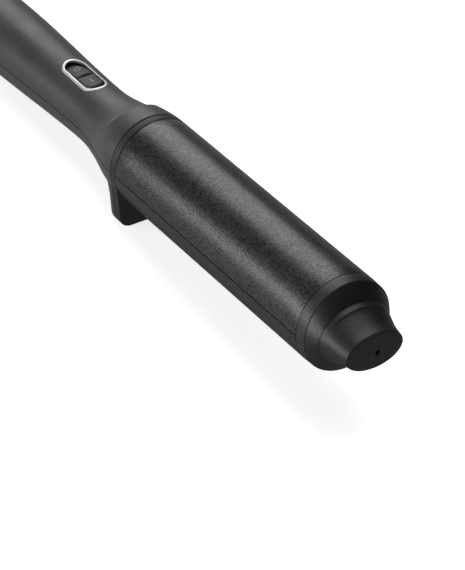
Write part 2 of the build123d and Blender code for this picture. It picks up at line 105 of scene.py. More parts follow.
# ---- the wand's place in the row frame ----
MM = 0.001
swivel = next(j for j in frame["joints"] if j["name"] == "cord_swivel_turn")
ALONG = Vector(swivel["axis"]).normalized()
ACROSS = Vector((0, 1, 0))
UPWARD = ALONG.cross(ACROSS)
ROOT = Vector(swivel["pos_m"]) - ALONG * HANDLE_END * MM
TURN = Matrix((ALONG, ACROSS, UPWARD)).transposed().to_4x4()
WAND = Matrix.Translation(ROOT) @ TURN @ Matrix.Scale(MM, 4)


# ---- helpers ----
def through(points):
    """Smooth curve through (x, value) points, as a function of x."""
    xs = [p[0] for p in points]
    ys = [p[1] for p in points]
    gaps = [b - a for a, b in zip(xs, xs[1:])]
    rises = [(b - a) / g for a, b, g in zip(ys, ys[1:], gaps)]
    slopes = [rises[0]]
    for i in range(1, len(rises)):
        slopes.append((rises[i - 1] * gaps[i] + rises[i] * gaps[i - 1]) / (gaps[i] + gaps[i - 1]))
    slopes.append(rises[-1])

    def value(x):
        i = min(max(bisect_right(xs, x) - 1, 0), len(gaps) - 1)
        u = min(max((x - xs[i]) / gaps[i], 0.0), 1.0)
        a = ys[i] * (1 + 2 * u) * (1 - u) ** 2 + ys[i + 1] * u * u * (3 - 2 * u)
        b = slopes[i] * u * (1 - u) ** 2 - slopes[i + 1] * u * u * (1 - u)
        return a + b * gaps[i]

    return value


def ease(low, high, x):
    """0 below low, 1 above high, smooth between."""
    u = min(max((x - low) / (high - low), 0.0), 1.0)
    return u * u * (3 - 2 * u)


def steps(start, end, count):
    """Evenly spaced values, both ends included."""
    return [start + (end - start) * i / (count - 1) for i in range(count)]


def bend(cx, cr, r, start, end, count):
    """Points (x, r) on an arc in the wand's profile, angles in degrees from +x."""
    return [(cx + r * cos(radians(a)), cr + r * sin(radians(a))) for a in steps(start, end, count)]


def skin(loops, joined=False):
    """Closed mesh through loops of points. The last loop meets the first, or both are capped."""
    bm = bmesh.new()
    rows = [[bm.verts.new(p) for p in loop] for loop in loops]
    count = len(rows[0])
    pairs = list(zip(rows, rows[1:]))
    if joined:
        pairs.append((rows[-1], rows[0]))
    else:
        bm.faces.new(rows[0])
        bm.faces.new(rows[-1])
    for a, b in pairs:
        for i in range(count):
            k = (i + 1) % count
            bm.faces.new((a[i], a[k], b[k], b[i]))
    bmesh.ops.recalc_face_normals(bm, faces=bm.faces)
    return bm


def piece(name, bm, material, body="wand", stands_for=(), sharp=35, place=WAND):
    """Makes a mesh object from the wand's frame and says what it rides on and stands for."""
    bm.transform(place)
    if place.determinant() < 0:
        bmesh.ops.reverse_faces(bm, faces=bm.faces)
    mesh = bpy.data.meshes.new(name)
    bm.to_mesh(mesh)
    bm.free()
    obj = bpy.data.objects.new(name, mesh)
    bpy.context.scene.collection.objects.link(obj)
    mesh.materials.append(material)
    smooth(obj, sharp)
    if body:
        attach(obj, body)
    if stands_for:
        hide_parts(*stands_for)
    return obj


def smooth(obj, sharp):
    """Smooth shading that keeps edges sharper than an angle in degrees."""
    mesh = obj.data
    mesh.shade_smooth()
    mesh.set_sharp_from_angle(angle=radians(sharp))


def applied(obj, kind, **settings):
    """Adds a modifier, applies it and keeps the result as the object's mesh."""
    modifier = obj.modifiers.new(kind.lower(), kind)
    for key, value in settings.items():
        setattr(modifier, key, value)
    graph = bpy.context.evaluated_depsgraph_get()
    mesh = bpy.data.meshes.new_from_object(obj.evaluated_get(graph))
    obj.modifiers.clear()
    old = obj.data
    obj.data = mesh
    mesh.name = obj.name
    bpy.data.meshes.remove(old)


def cut(obj, bm, sharp=35):
    """Subtracts a closed mesh, drawn in the wand's frame, from an object."""
    bm.transform(WAND)
    mesh = bpy.data.meshes.new("cutter")
    bm.to_mesh(mesh)
    bm.free()
    tool = bpy.data.objects.new("cutter", mesh)
    bpy.context.scene.collection.objects.link(tool)
    applied(obj, "BOOLEAN", operation="DIFFERENCE", solver="EXACT", object=tool)
    bpy.data.objects.remove(tool)
    smooth(obj, sharp)


def polar(x, r, t):
    """Point at x, radius r, and t degrees from +y towards +z."""
    return Vector((x, r * cos(radians(t)), r * sin(radians(t))))


def above_table(p):
    """Same point, lifted to the table's plane where the front of the stand would dip below it."""
    table = -STAND_H - p.x * ALONG.z / ALONG.x
    if p.x < 0 and p.z < table:
        p.z = table
    return p


def turned(profile, segments=160):
    """Solid of revolution of a closed (x, r) profile about the wand's axis."""
    loops = []
    for i in range(segments):
        loops.append([polar(x, r, 360 * i / segments) for x, r in profile])
    return skin(loops, joined=True)


# ---- materials ----
def tree_of(name):
    """A new material's node tree, its Principled shader, and texture coordinates in metres."""
    material = bpy.data.materials.new(name)
    material.use_nodes = True
    tree = material.node_tree
    shader = tree.nodes["Principled BSDF"]
    where = tree.nodes.new("ShaderNodeTexCoord").outputs["Object"]
    return material, tree, shader, where


def noise(tree, where, scale, detail=3.0, rough=0.55, stretch=None):
    """Noise texture, on stretched coordinates if asked; returns its value output."""
    if stretch:
        mapping = tree.nodes.new("ShaderNodeMapping")
        mapping.inputs["Scale"].default_value = stretch
        tree.links.new(where, mapping.inputs["Vector"])
        where = mapping.outputs["Vector"]
    texture = tree.nodes.new("ShaderNodeTexNoise")
    texture.inputs["Scale"].default_value = scale
    texture.inputs["Detail"].default_value = detail
    texture.inputs["Roughness"].default_value = rough
    tree.links.new(where, texture.inputs["Vector"])
    return texture.outputs["Fac"]


def spread(tree, value, low, high, from_low=0.3, from_high=0.7):
    """Maps a texture value to a range."""
    node = tree.nodes.new("ShaderNodeMapRange")
    node.inputs["From Min"].default_value = from_low
    node.inputs["From Max"].default_value = from_high
    node.inputs["To Min"].default_value = low
    node.inputs["To Max"].default_value = high
    tree.links.new(value, node.inputs["Value"])
    return node.outputs["Result"]


def tint(tree, value, dark, light):
    """Mixes two colours by a value."""
    node = tree.nodes.new("ShaderNodeMix")
    node.data_type = "RGBA"
    node.inputs["A"].default_value = (*dark, 1)
    node.inputs["B"].default_value = (*light, 1)
    tree.links.new(value, node.inputs["Factor"])
    return node.outputs["Result"]


def bump(tree, shader, *layers):
    """Stacks bump layers of (height, strength, depth in metres) onto a shader."""
    last = None
    for height, strength, depth in layers:
        node = tree.nodes.new("ShaderNodeBump")
        node.inputs["Strength"].default_value = strength
        node.inputs["Distance"].default_value = depth
        tree.links.new(height, node.inputs["Height"])
        if last:
            tree.links.new(last, node.inputs["Normal"])
        last = node.outputs["Normal"]
    tree.links.new(last, shader.inputs["Normal"])


def moulded_plastic(name, dark, light, rough, grain=1500, depth=0.00003, ior=1.46, sheen=0.0):
    """Moulded plastic: a spark-eroded grain, faint flow marks and fine specks of gloss."""
    material, tree, shader, where = tree_of(name)
    flow = noise(tree, where, 60, 4)
    fine = noise(tree, where, grain, 2)
    coarse = noise(tree, where, grain / 4, 3)
    specks = noise(tree, where, 1600, 1)
    mottled = tint(tree, spread(tree, flow, 0, 1), dark, light)
    tree.links.new(mottled, shader.inputs["Base Color"])
    tree.links.new(spread(tree, flow, rough - 0.04, rough + 0.05), shader.inputs["Roughness"])
    tree.links.new(spread(tree, specks, 0.36, 0.64), shader.inputs["Specular IOR Level"])
    shader.inputs["IOR"].default_value = ior
    shader.inputs["Sheen Weight"].default_value = sheen
    shader.inputs["Sheen Roughness"].default_value = 0.45
    bump(tree, shader, (coarse, 0.12, depth), (fine, 0.35, depth))
    return material


def coated_metal(name, dark, light, rough, scale, sparkle, depth):
    """Satin ceramic coating over metal: fine grains, each of its own shade and gloss."""
    material, tree, shader, where = tree_of(name)
    grains = tree.nodes.new("ShaderNodeTexVoronoi")
    grains.inputs["Scale"].default_value = scale
    tree.links.new(where, grains.inputs["Vector"])
    chance = grains.outputs["Color"]
    cloud = noise(tree, where, 45, 3)
    peel = noise(tree, where, scale * 0.7, 1)
    shade = spread(tree, chance, 0, 1)
    tree.links.new(tint(tree, shade, dark, light), shader.inputs["Base Color"])
    tree.links.new(spread(tree, cloud, rough - 0.02, rough + 0.02), shader.inputs["Roughness"])
    gloss = spread(tree, chance, 0.5 - sparkle, 0.5 + sparkle)
    tree.links.new(gloss, shader.inputs["Specular IOR Level"])
    bump(tree, shader, (peel, 0.8, depth))
    return material


def brushed(name, dark, light, rough, stretch, scale=700):
    """Metal with brush marks along one direction."""
    material, tree, shader, where = tree_of(name)
    marks = noise(tree, where, scale, 4, 0.6, stretch)
    stain = noise(tree, where, 80, 3)
    tree.links.new(tint(tree, spread(tree, marks, 0, 1), dark, light), shader.inputs["Base Color"])
    tree.links.new(spread(tree, stain, rough - 0.05, rough + 0.07), shader.inputs["Roughness"])
    shader.inputs["Metallic"].default_value = 1.0
    bump(tree, shader, (marks, 0.15, 0.00001))
    return material


def fired_ceramic(name, dark, light):
    """Unglazed alumina: a fine grain with faint stains."""
    material, tree, shader, where = tree_of(name)
    stain = noise(tree, where, 150, 4)
    grains = noise(tree, where, 2500, 2)
    tree.links.new(tint(tree, spread(tree, stain, 0, 1), dark, light), shader.inputs["Base Color"])
    tree.links.new(spread(tree, grains, 0.55, 0.75), shader.inputs["Roughness"])
    bump(tree, shader, (grains, 0.3, 0.00002))
    return material


def circuit_board(name):
    """Green lacquer over copper tracks."""
    material, tree, shader, where = tree_of(name)
    bricks = tree.nodes.new("ShaderNodeTexBrick")
    bricks.inputs["Scale"].default_value = 260
    bricks.inputs["Color1"].default_value = (0.012, 0.11, 0.05, 1)
    bricks.inputs["Color2"].default_value = (0.015, 0.14, 0.06, 1)
    bricks.inputs["Mortar"].default_value = (0.02, 0.2, 0.09, 1)
    tree.links.new(where, bricks.inputs["Vector"])
    tree.links.new(bricks.outputs["Color"], shader.inputs["Base Color"])
    wave = noise(tree, where, 900, 2)
    tree.links.new(spread(tree, wave, 0.25, 0.4), shader.inputs["Roughness"])
    bump(tree, shader, (bricks.outputs["Fac"], 0.3, 0.00003))
    return material


MOULD_GRAIN = {"grain": 700, "depth": 0.00009}  # coarser, for the large mouldings
materials = {
    "housing_plastic": moulded_plastic(
        "housing_plastic",
        dark=(0.018, 0.0185, 0.021),
        light=(0.025, 0.0255, 0.028),
        rough=0.45,
        sheen=0.2,
        **MOULD_GRAIN,
    ),
    "heatproof_plastic": moulded_plastic(
        "heatproof_plastic",
        dark=(0.008, 0.0083, 0.0092),
        light=(0.010, 0.0104, 0.0115),
        rough=0.42,
        **MOULD_GRAIN,
    ),
    "coated_barrel": coated_metal(
        "coated_barrel",
        dark=(0.001, 0.001, 0.0012),
        light=(0.026, 0.026, 0.029),
        rough=0.36,
        scale=1800,
        sparkle=0.13,
        depth=0.00004,
    ),
    "satin_trim": brushed(
        "satin_trim", (0.50, 0.50, 0.51), (0.58, 0.58, 0.59), rough=0.5, stretch=(1, 6, 6)
    ),
    "rocker_plastic": moulded_plastic(
        "rocker_plastic", (0.022, 0.0225, 0.0245), (0.027, 0.0275, 0.030), rough=0.5
    ),
    "gland_plastic": moulded_plastic(
        "gland_plastic", (0.012, 0.0125, 0.014), (0.017, 0.0175, 0.019), rough=0.55
    ),
    "inner_plastic": moulded_plastic(
        "inner_plastic", (0.04, 0.04, 0.04), (0.06, 0.06, 0.06), rough=0.6
    ),
    "carrier_plastic": moulded_plastic(
        "carrier_plastic", (0.030, 0.026, 0.020), (0.042, 0.036, 0.028), rough=0.6
    ),
    "board": circuit_board("board"),
    "component_plastic": moulded_plastic(
        "component_plastic", (0.012, 0.012, 0.014), (0.02, 0.02, 0.023), rough=0.3
    ),
    "bare_aluminium": brushed(
        "bare_aluminium", (0.62, 0.63, 0.65), (0.75, 0.76, 0.78), rough=0.35, stretch=(0.1, 1, 1)
    ),
    "heater_ceramic": fired_ceramic("heater_ceramic", (0.7, 0.68, 0.62), (0.82, 0.81, 0.77)),
    "spring_steel": brushed(
        "spring_steel", (0.38, 0.38, 0.4), (0.55, 0.55, 0.57), rough=0.3, stretch=(0.2, 1, 1)
    ),
    "screw_steel": brushed(
        "screw_steel", (0.3, 0.3, 0.31), (0.45, 0.45, 0.46), rough=0.35, stretch=(1, 1, 0.2)
    ),
    "contact_brass": brushed(
        "contact_brass", (0.62, 0.42, 0.16), (0.78, 0.56, 0.24), rough=0.28, stretch=(1, 0.2, 1)
    ),
    "lead_insulation": moulded_plastic(
        "lead_insulation", (0.5, 0.48, 0.42), (0.58, 0.56, 0.5), rough=0.65, grain=900
    ),
}
# A copy of the barrel's coating with a darker, flatter grain colour: painted shade for the lower shell, which lies
# in shadow. Its bump and gloss specks are weaker too.
shaded_coating = coated_metal(
    "shaded_coating",
    dark=(0.007, 0.007, 0.008),
    light=(0.015, 0.015, 0.017),
    rough=0.36,
    scale=1800,
    sparkle=0.05,
    depth=0.00003,
)
plate_plastic = moulded_plastic(
    "plate_plastic",
    dark=(0.008, 0.0083, 0.0095),
    light=(0.011, 0.0113, 0.0125),
    rough=0.5,
    ior=1.35,
    sheen=0.2,
    **MOULD_GRAIN,
)
band_plastic = moulded_plastic(
    "band_plastic",
    dark=(0.014, 0.0145, 0.016),
    light=(0.018, 0.0185, 0.020),
    rough=0.42,
    **MOULD_GRAIN,
)
switch_mark = moulded_plastic(
    "switch_mark", (0.17, 0.17, 0.175), (0.21, 0.21, 0.215), rough=0.35
)

# ---- the handle's outer form ----
# (x, radius) along the handle's sides
side_radius = through(
    [
        (-178, REAR_R),
        (-155, REAR_R),
        (-140, 19.6),
        (-125, 19.1),
        (-110, 18.55),
        (-95, 17.9),
        (-80, 17.4),
        (-66, 17.0),
        (-56, 16.95),
        (-50, 17.15),
        (-44, 17.75),
        (-38, 18.8),
        (-31, 20.2),
        (-24, 22.0),
        (-18.5, 23.4),
        (-13, 24.4),
        (-8, 24.85),
        (-PLATE, BARREL_R),
    ]
)
CREST_X = -17.6  # the crease's foremost place, on the top line
CREST_DROP = 7.6  # how far back the crease's ends lie
CREST_SPAN = 46.5  # degrees from the top line to the crease's ends
# (distance ahead of the crease, height off the sides' radius), for the dip behind the crease
scoop = through(
    [
        (-45, 0.0),
        (-34, 0.0),
        (-22.4, -0.42),
        (-17.4, -0.85),
        (-12.4, -1.2),
        (-8.4, -1.45),
        (-4.4, -1.15),
        (-1.4, -0.05),
        (0, 0.9),
    ]
)
# (x, height off the sides' radius), for the crown in front of the crease
swell = through([(-26, 2.2), (-19.6, 1.2), (CREST_X, 0.9), (-13, 0.35), (-8, 0.1), (-PLATE, 0)])


def crease(off_top):
    """x of the crease, at an angle in degrees from the top line."""
    share = min(abs(off_top) / CREST_SPAN, 1.0)
    return CREST_X - CREST_DROP * (1 - sqrt(1 - share * share))


def handle_radius(x, off_top=180.0):
    """The handle's radius at x. Over the top it swells up to a crease with a scoop behind it."""
    share = min(abs(off_top) / 50.0, 1.0)
    weight = (1 - share * share) ** 1.2
    if weight <= 0 or x > -PLATE:
        return side_radius(x)
    behind = x - crease(off_top)
    if behind >= 0:
        return side_radius(x) + weight * swell(x)
    gap = swell(crease(off_top)) - swell(CREST_X)
    return side_radius(x) + weight * (scoop(behind) + gap * exp(behind / 1.5))


def rear_end():
    """Profile of the handle's rounded rear end, on into the gland's neck, and its inner wall."""
    inner = REAR_R - HOUSING_WALL
    wall_x = HANDLE_END + HOUSING_WALL + 0.6
    outer = bend(HANDLE_END + REAR_ROUND, REAR_R - REAR_ROUND, REAR_ROUND, 90, 180, 12)
    mouth = [(HANDLE_END, 9.5), (HANDLE_END, GLAND_NECK + 0.4), (HANDLE_END + 0.4, GLAND_NECK)]
    return outer + mouth + [(wall_x, GLAND_NECK), (wall_x, inner - 6), (wall_x + 5, inner)]


def inner_front():
    """Profile of the inside, from the rear to the front."""
    xs = steps(-160, -PLATE - SEAM, 26)
    return [(x, side_radius(x) - HOUSING_WALL) for x in xs]


def upper_section(off_top):
    """Closed (x, r) section of the upper housing at an angle from the top line."""
    front = -PLATE - SEAM
    peak = crease(off_top)
    xs = steps(front - 0.35, peak + 0.3, 14) + [peak + 0.12, peak, peak - 0.15]
    xs += steps(peak - 0.45, peak - 8, 14)
    xs += steps(peak - 9.5, -58, 16) + steps(-61, HANDLE_END + REAR_ROUND + 1.5, 44)
    outer = [(front, handle_radius(front, off_top) - 0.3)]
    outer += [(x, handle_radius(x, off_top)) for x in xs]
    return outer + rear_end() + inner_front()


# ---- the stand's outline ----
def stand_outline():
    """Polar outline of the collar with the stand below it: radius at t degrees from +y."""
    points = []
    lean = atan2(STAND_TOP_Y - STAND_LOW_Y, STAND_H + STAND_TOP_Z)
    centre_z = -STAND_H + STAND_CORNER
    edge_y = STAND_LOW_Y + tan(lean) * STAND_CORNER
    centre_y = edge_y - STAND_CORNER / cos(lean)
    for a in steps(0, -90 + degrees(lean), 15):
        y = centre_y + STAND_CORNER * cos(radians(a) - lean)
        z = centre_z + STAND_CORNER * sin(radians(a) - lean)
        points.append((y, z))
    side_zs = steps(STAND_TOP_Z, centre_z, 9)
    side = [(STAND_TOP_Y - (STAND_TOP_Z - z) * tan(lean), z) for z in side_zs]
    bottom = [(y, -STAND_H) for y in steps(points[-1][0], 0, 8)]
    half = side[:-1] + points + bottom[1:]
    curve = through(sorted((-degrees(atan2(z, y)), hypot(y, z)) for y, z in half))
    start = -degrees(atan2(STAND_TOP_Z, STAND_TOP_Y))

    def radius(t):
        below = abs((t - 270 + 180) % 360 - 180)  # degrees from straight down
        down = 90 - below  # degrees below the horizontal
        if down < start:
            return BARREL_R
        return max(BARREL_R, curve(down))

    return radius


stand_radius = stand_outline()


def lower_section(t):
    """Closed (x, r) section of the lower housing with the stand's fin, at t degrees from +y."""
    front = -PLATE - SEAM
    out = stand_radius(t)
    down = -sin(radians(t))
    lift = 0.22 * ease(0.75, 0.95, down)
    drop_at_side = 3.4 * (1 - ease(0.14, 0.4, down))
    rear = FIN_REAR - drop_at_side
    drop = max(out - side_radius(rear), 0.0)
    if out <= BARREL_R + 0.02:
        rim = [(x, side_radius(x)) for x in steps(front - 0.35, -28, 46)]
        path = [(front, side_radius(front) - 0.3)] + rim
    else:
        strength = ease(0, 1.0, out - BARREL_R)
        edge = min(1.5, 0.45 * drop)
        hollow = min(5.0, 0.5 * drop) + 2.0 * ease(0.9, 1.0, down) * ease(2, 6, drop)
        top = out - lift * (front - rear)
        strip = [(front, out - 0.3)]
        strip += [(x, out - lift * (front - x)) for x in steps(front - 0.35, rear + edge + 0.2, 8)]
        strip += bend(rear + edge, top - edge, edge, 90, 180, 9)
        foot = side_radius(rear - hollow)
        turn = bend(rear - hollow, foot + hollow, hollow, 0, -90, 12)
        if foot + hollow > top - edge - 0.05:
            turn = [(x, min(r, top - edge - 0.05)) for x, r in turn]
        wall = [(rear, r) for r in steps(top - edge, turn[0][1], 6)][1:-1]
        rest = [(x, side_radius(x)) for x in steps(rear - hollow - 0.8, -28, 13)]
        path = strip + wall + turn + rest
        even = [(x, side_radius(x)) for x in steps(front - 0.35, -28, 46)]
        even = [(front, side_radius(front) - 0.3)] + even
        if len(path) != len(even):
            raise ValueError(f"section of {len(path)} points, not {len(even)}")
        path = [
            (a[0] + (b[0] - a[0]) * strength, a[1] + (b[1] - a[1]) * strength)
            for a, b in zip(even, path)
        ]
    xs = steps(-29.5, -58, 14) + steps(-61, HANDLE_END + REAR_ROUND + 1.5, 44)
    return path + [(x, side_radius(x)) for x in xs] + rear_end() + inner_front()


def half_housing(section, start, end, count, level):
    """Closed mesh of one housing half; its edges at the parting line are slightly broken."""
    loops = []
    for i, t in enumerate(steps(start, end, count)):
        loop = [above_table(polar(x, r, t)) for x, r in section(t)]
        if i in (0, count - 1):
            outward = 1 if abs((t + 90) % 360 - 90) < 1 else -1
            for p in loop:
                p.y = outward * (hypot(p.y, p.z) - EDGE_BREAK)
                p.z = level
        loops.append(loop)
    return skin(loops)


def switch_outline(shrink):
    """Plan of the switch as (x, y) points: straight sides with round ends."""
    rear = (RING_REAR + RING_HALF, 0, RING_HALF)
    nose = (RING_FRONT - RING_HALF, 0, RING_HALF)
    points = arc_points(rear, shrink, 180, 90, 24)
    points += [(x, RING_HALF - shrink) for x in steps(rear[0], nose[0], 16)[1:-1]]
    points += arc_points(nose, shrink, 90, 0, 24)
    return points + [(x, -y) for x, y in reversed(points[1:-1])]


def arc_points(circle, shrink, start, end, count):
    """Points on a circle (x, y, r) made smaller by shrink, angles in degrees."""
    cx, cy, r = circle
    angles = [radians(a) for a in steps(start, end, count)]
    return [(cx + (r - shrink) * cos(a), cy + (r - shrink) * sin(a)) for a in angles]


def on_handle(x, y, proud):
    """Point over plan position (x, y) at a height above the handle's surface."""
    r = side_radius(x) + proud
    return Vector((x, y, sqrt(r * r - y * y)))


def prism(outline, low, high):
    """Upright prism over a plan outline."""
    return skin([[Vector((x, y, z)) for x, y in outline] for z in (low, high)])


def build_housing():
    """Both halves of the handle's housing."""
    upper = piece(
        "handle_upper",
        half_housing(lambda t: upper_section(t - 90), 0, 180, 121, PARTING),
        materials["housing_plastic"],
        stands_for=["upper_housing"],
    )
    cut(upper, prism(switch_outline(-RING_FIT), PIVOT_Z + 0.5, CUT_TOP))
    lower = piece(
        "handle_lower",
        half_housing(lower_section, 180, 360, 181, -PARTING),
        materials["housing_plastic"],
        stands_for=["lower_housing"],
    )
    for x in SCREW_PLACES:
        hole = arc_points((x, 0, SCREW_HOLE_R), 0, 0, 360, 49)[:-1]
        cut(lower, prism(hole, CUT_BOTTOM, SCREW_SEAT))


def build_bulkhead():
    """Front plate: a full ring with the stand's flat face below."""
    # (x, radius, inset): where the radius is None, the place is that far inside the outer outline
    profile = [
        (-PLATE, 17.7, None),
        (-PLATE, None, 0.3),
        (-PLATE + 0.3, None, 0.0),
        (-0.4, None, 0.0),
        (-0.12, None, 0.12),
        (0, None, 0.4),
        (0, 17.7, None),
    ]
    loops = []
    for i in range(240):
        t = 360 * i / 240
        loop = []
        for x, r, inset in profile:
            loop.append(above_table(polar(x, r if inset is None else stand_radius(t) - inset, t)))
        loops.append(loop)
    return piece(
        "front_plate",
        skin(loops, joined=True),
        plate_plastic,
        stands_for=["front_bulkhead"],
    )


def build_barrel():
    """Two coated half shells with broken edges."""
    upper_coating = materials["coated_barrel"]
    shells = (
        ("barrel_shell_upper", "barrel_upper_shell", 0.55, 0, SHELL_GAP, upper_coating),
        # The lower shell takes the copy of the coating with painted shade.
        ("barrel_shell_lower", "barrel_lower_shell", 0.15, 180, -SHELL_GAP, shaded_coating),
    )
    for name, node, start, turn, level, coating in shells:
        loops = []
        inner = BARREL_R - SHELL_WALL
        ends = [(start, BARREL_R - 0.2), (start + 0.06, BARREL_R - 0.05), (start + 0.22, BARREL_R)]
        middle = [(x, BARREL_R) for x in steps(8, BARREL_END - 8, 12)]
        tail = [(BARREL_END - 0.22, BARREL_R), (BARREL_END - 0.06, BARREL_R - 0.05)]
        tail += [(BARREL_END, BARREL_R - 0.2), (BARREL_END, inner), (start, inner)]
        for i in range(121):
            t = turn + 180 * i / 120
            if i in (1, 119):
                t = turn + (0.8 if i == 1 else 179.2)
            loop = [polar(x, r, t) for x, r in ends + middle + tail]
            if i in (0, 120):
                for p in loop:
                    p.y -= EDGE_BREAK * (1 if p.y > 0 else -1)
                    p.z = level
            loops.append(loop)
        piece(name, skin(loops), coating, stands_for=[node])


def oval_radius(half_y, half_z, t):
    """Radius of an ellipse at t degrees from +y."""
    return 1 / hypot(cos(radians(t)) / half_y, sin(radians(t)) / half_z)


def build_band_and_cone():
    """End band and the black shoulder in front of it."""
    band = [
        (161, 23.0),
        (161, 24.1),
        (BAND_START, 24.1),
        (BAND_START, BARREL_R - 0.15),
        (BAND_START + 0.12, BARREL_R - 0.02),
        (BAND_END - 0.3, BAND_R + 0.02),
        (BAND_END - 0.08, BAND_R - 0.08),
        (BAND_END, BAND_R - 0.3),
        (BAND_END, 23.0),
    ]
    piece(
        "barrel_end_band",
        turned(band),
        band_plastic,
        stands_for=["end_band"],
    )
    start = BAND_END + 0.1
    root_r = BAND_R - 0.45
    inside = [(CONE_END, 14), (177, 14), (177, 16.4), (174.3, 21.4), (169, 21.4), (169, 22.9)]
    loops = []
    for i in range(160):
        t = 2.25 * i
        oval = oval_radius(CONE_HALF_WIDTH, CONE_HALF_HEIGHT, t)
        loop = []
        for u in steps(0, 1, 16):
            r = root_r + (oval - root_r) * u + CONE_SWELL * u * (1 - u)
            loop.append(polar(start + (CONE_END - start) * u, r, t))
        loop.append(polar(CONE_END + 0.02, oval - 0.3, t))
        loop += [polar(x, r, t) for x, r in inside + [(start, 22.9)]]
        loops.append(loop)
    piece(
        "shoulder",
        skin(loops, joined=True),
        materials["heatproof_plastic"],
        stands_for=["end_cap"],
    )


def build_tip():
    """Cool tip: round at its root, flattened at its end face, with a step across the top."""
    half_y = through(
        [
            (TIP_START, CONE_HALF_WIDTH),
            (182.4, 19.5),
            (186, 18.4),
            (190, 17.3),
            (193.5, 16.7),
            (TIP_END, TIP_HALF_WIDTH),
        ]
    )
    half_z = through(
        [
            (TIP_START, CONE_HALF_HEIGHT),
            (182.4, 15.0),
            (184.5, 13.7),
            (188, 12.0),
            (192, 10.8),
            (TIP_END, TIP_HALF_HEIGHT),
        ]
    )
    middle = through([(TIP_START, 0), (184, -0.1), (190, -0.5), (TIP_END, TIP_SAG)])
    count = 144

    def loop(x, inset=0.0, raised=0.0):
        points = []
        for i in range(count):
            a = 2 * pi * i / count
            over_top = ease(0.55, 0.98, sin(a))
            y = (half_y(x) - inset) * cos(a)
            z = (half_z(x) - inset + raised * over_top) * sin(a) + middle(x)
            points.append(Vector((x, y, z)))
        return points

    def ring(x, y, z, r):
        points = []
        for i in range(count):
            a = 2 * pi * i / count
            points.append(Vector((x, y + r * cos(a), z + r * sin(a))))
        return points

    loops = [ring(TIP_START, 0, 0, 6), loop(TIP_START, 0.35), loop(TIP_START + 0.12, 0.05)]
    for x in steps(TIP_START + 0.4, LEDGE_X - 0.25, 8):
        loops.append(loop(x, 0, 0.5 * ease(TIP_START + 0.5, LEDGE_X, x)))
    loops += [loop(LEDGE_X - 0.06, 0, 0.5), loop(LEDGE_X, 0, 0.35), loop(LEDGE_X + 0.06, 0, -0.4)]
    for x in steps(LEDGE_X + 0.25, TIP_END - 0.45, 26):
        loops.append(loop(x, 0, -0.4 * (1 - ease(LEDGE_X, LEDGE_X + 6, x))))
    loops += [loop(TIP_END - 0.3), loop(TIP_END - 0.09, 0.08), loop(TIP_END, 0.28)]
    loops += [ring(TIP_END, HOLE_Y, HOLE_Z, r) for r in (8.0, 4.0, HOLE_R + 0.15)]
    loops += [ring(TIP_END - deep, HOLE_Y, HOLE_Z, HOLE_R) for deep in (0.15, 2)]
    piece(
        "tip",
        skin(loops),
        materials["heatproof_plastic"],
        stands_for=["cool_tip"],
        sharp=40,
    )


def build_bezel():
    """Silver ring that follows the handle's surface."""
    section = [
        (-0.05, -1.3),
        (-0.05, -0.1),
        (0.1, 0.08),
        (0.4, 0.15),
        (1.3, 0.15),
        (1.57, 0.08),
        (RING_WIDE, -0.1),
        (RING_WIDE, -1.3),
    ]
    rows = []
    for shrink, proud in section:
        rows.append([on_handle(x, y, proud) for x, y in switch_outline(shrink)])
    piece(
        "switch_ring",
        skin(rows, joined=True),
        materials["satin_trim"],
        stands_for=["switch_bezel"],
    )


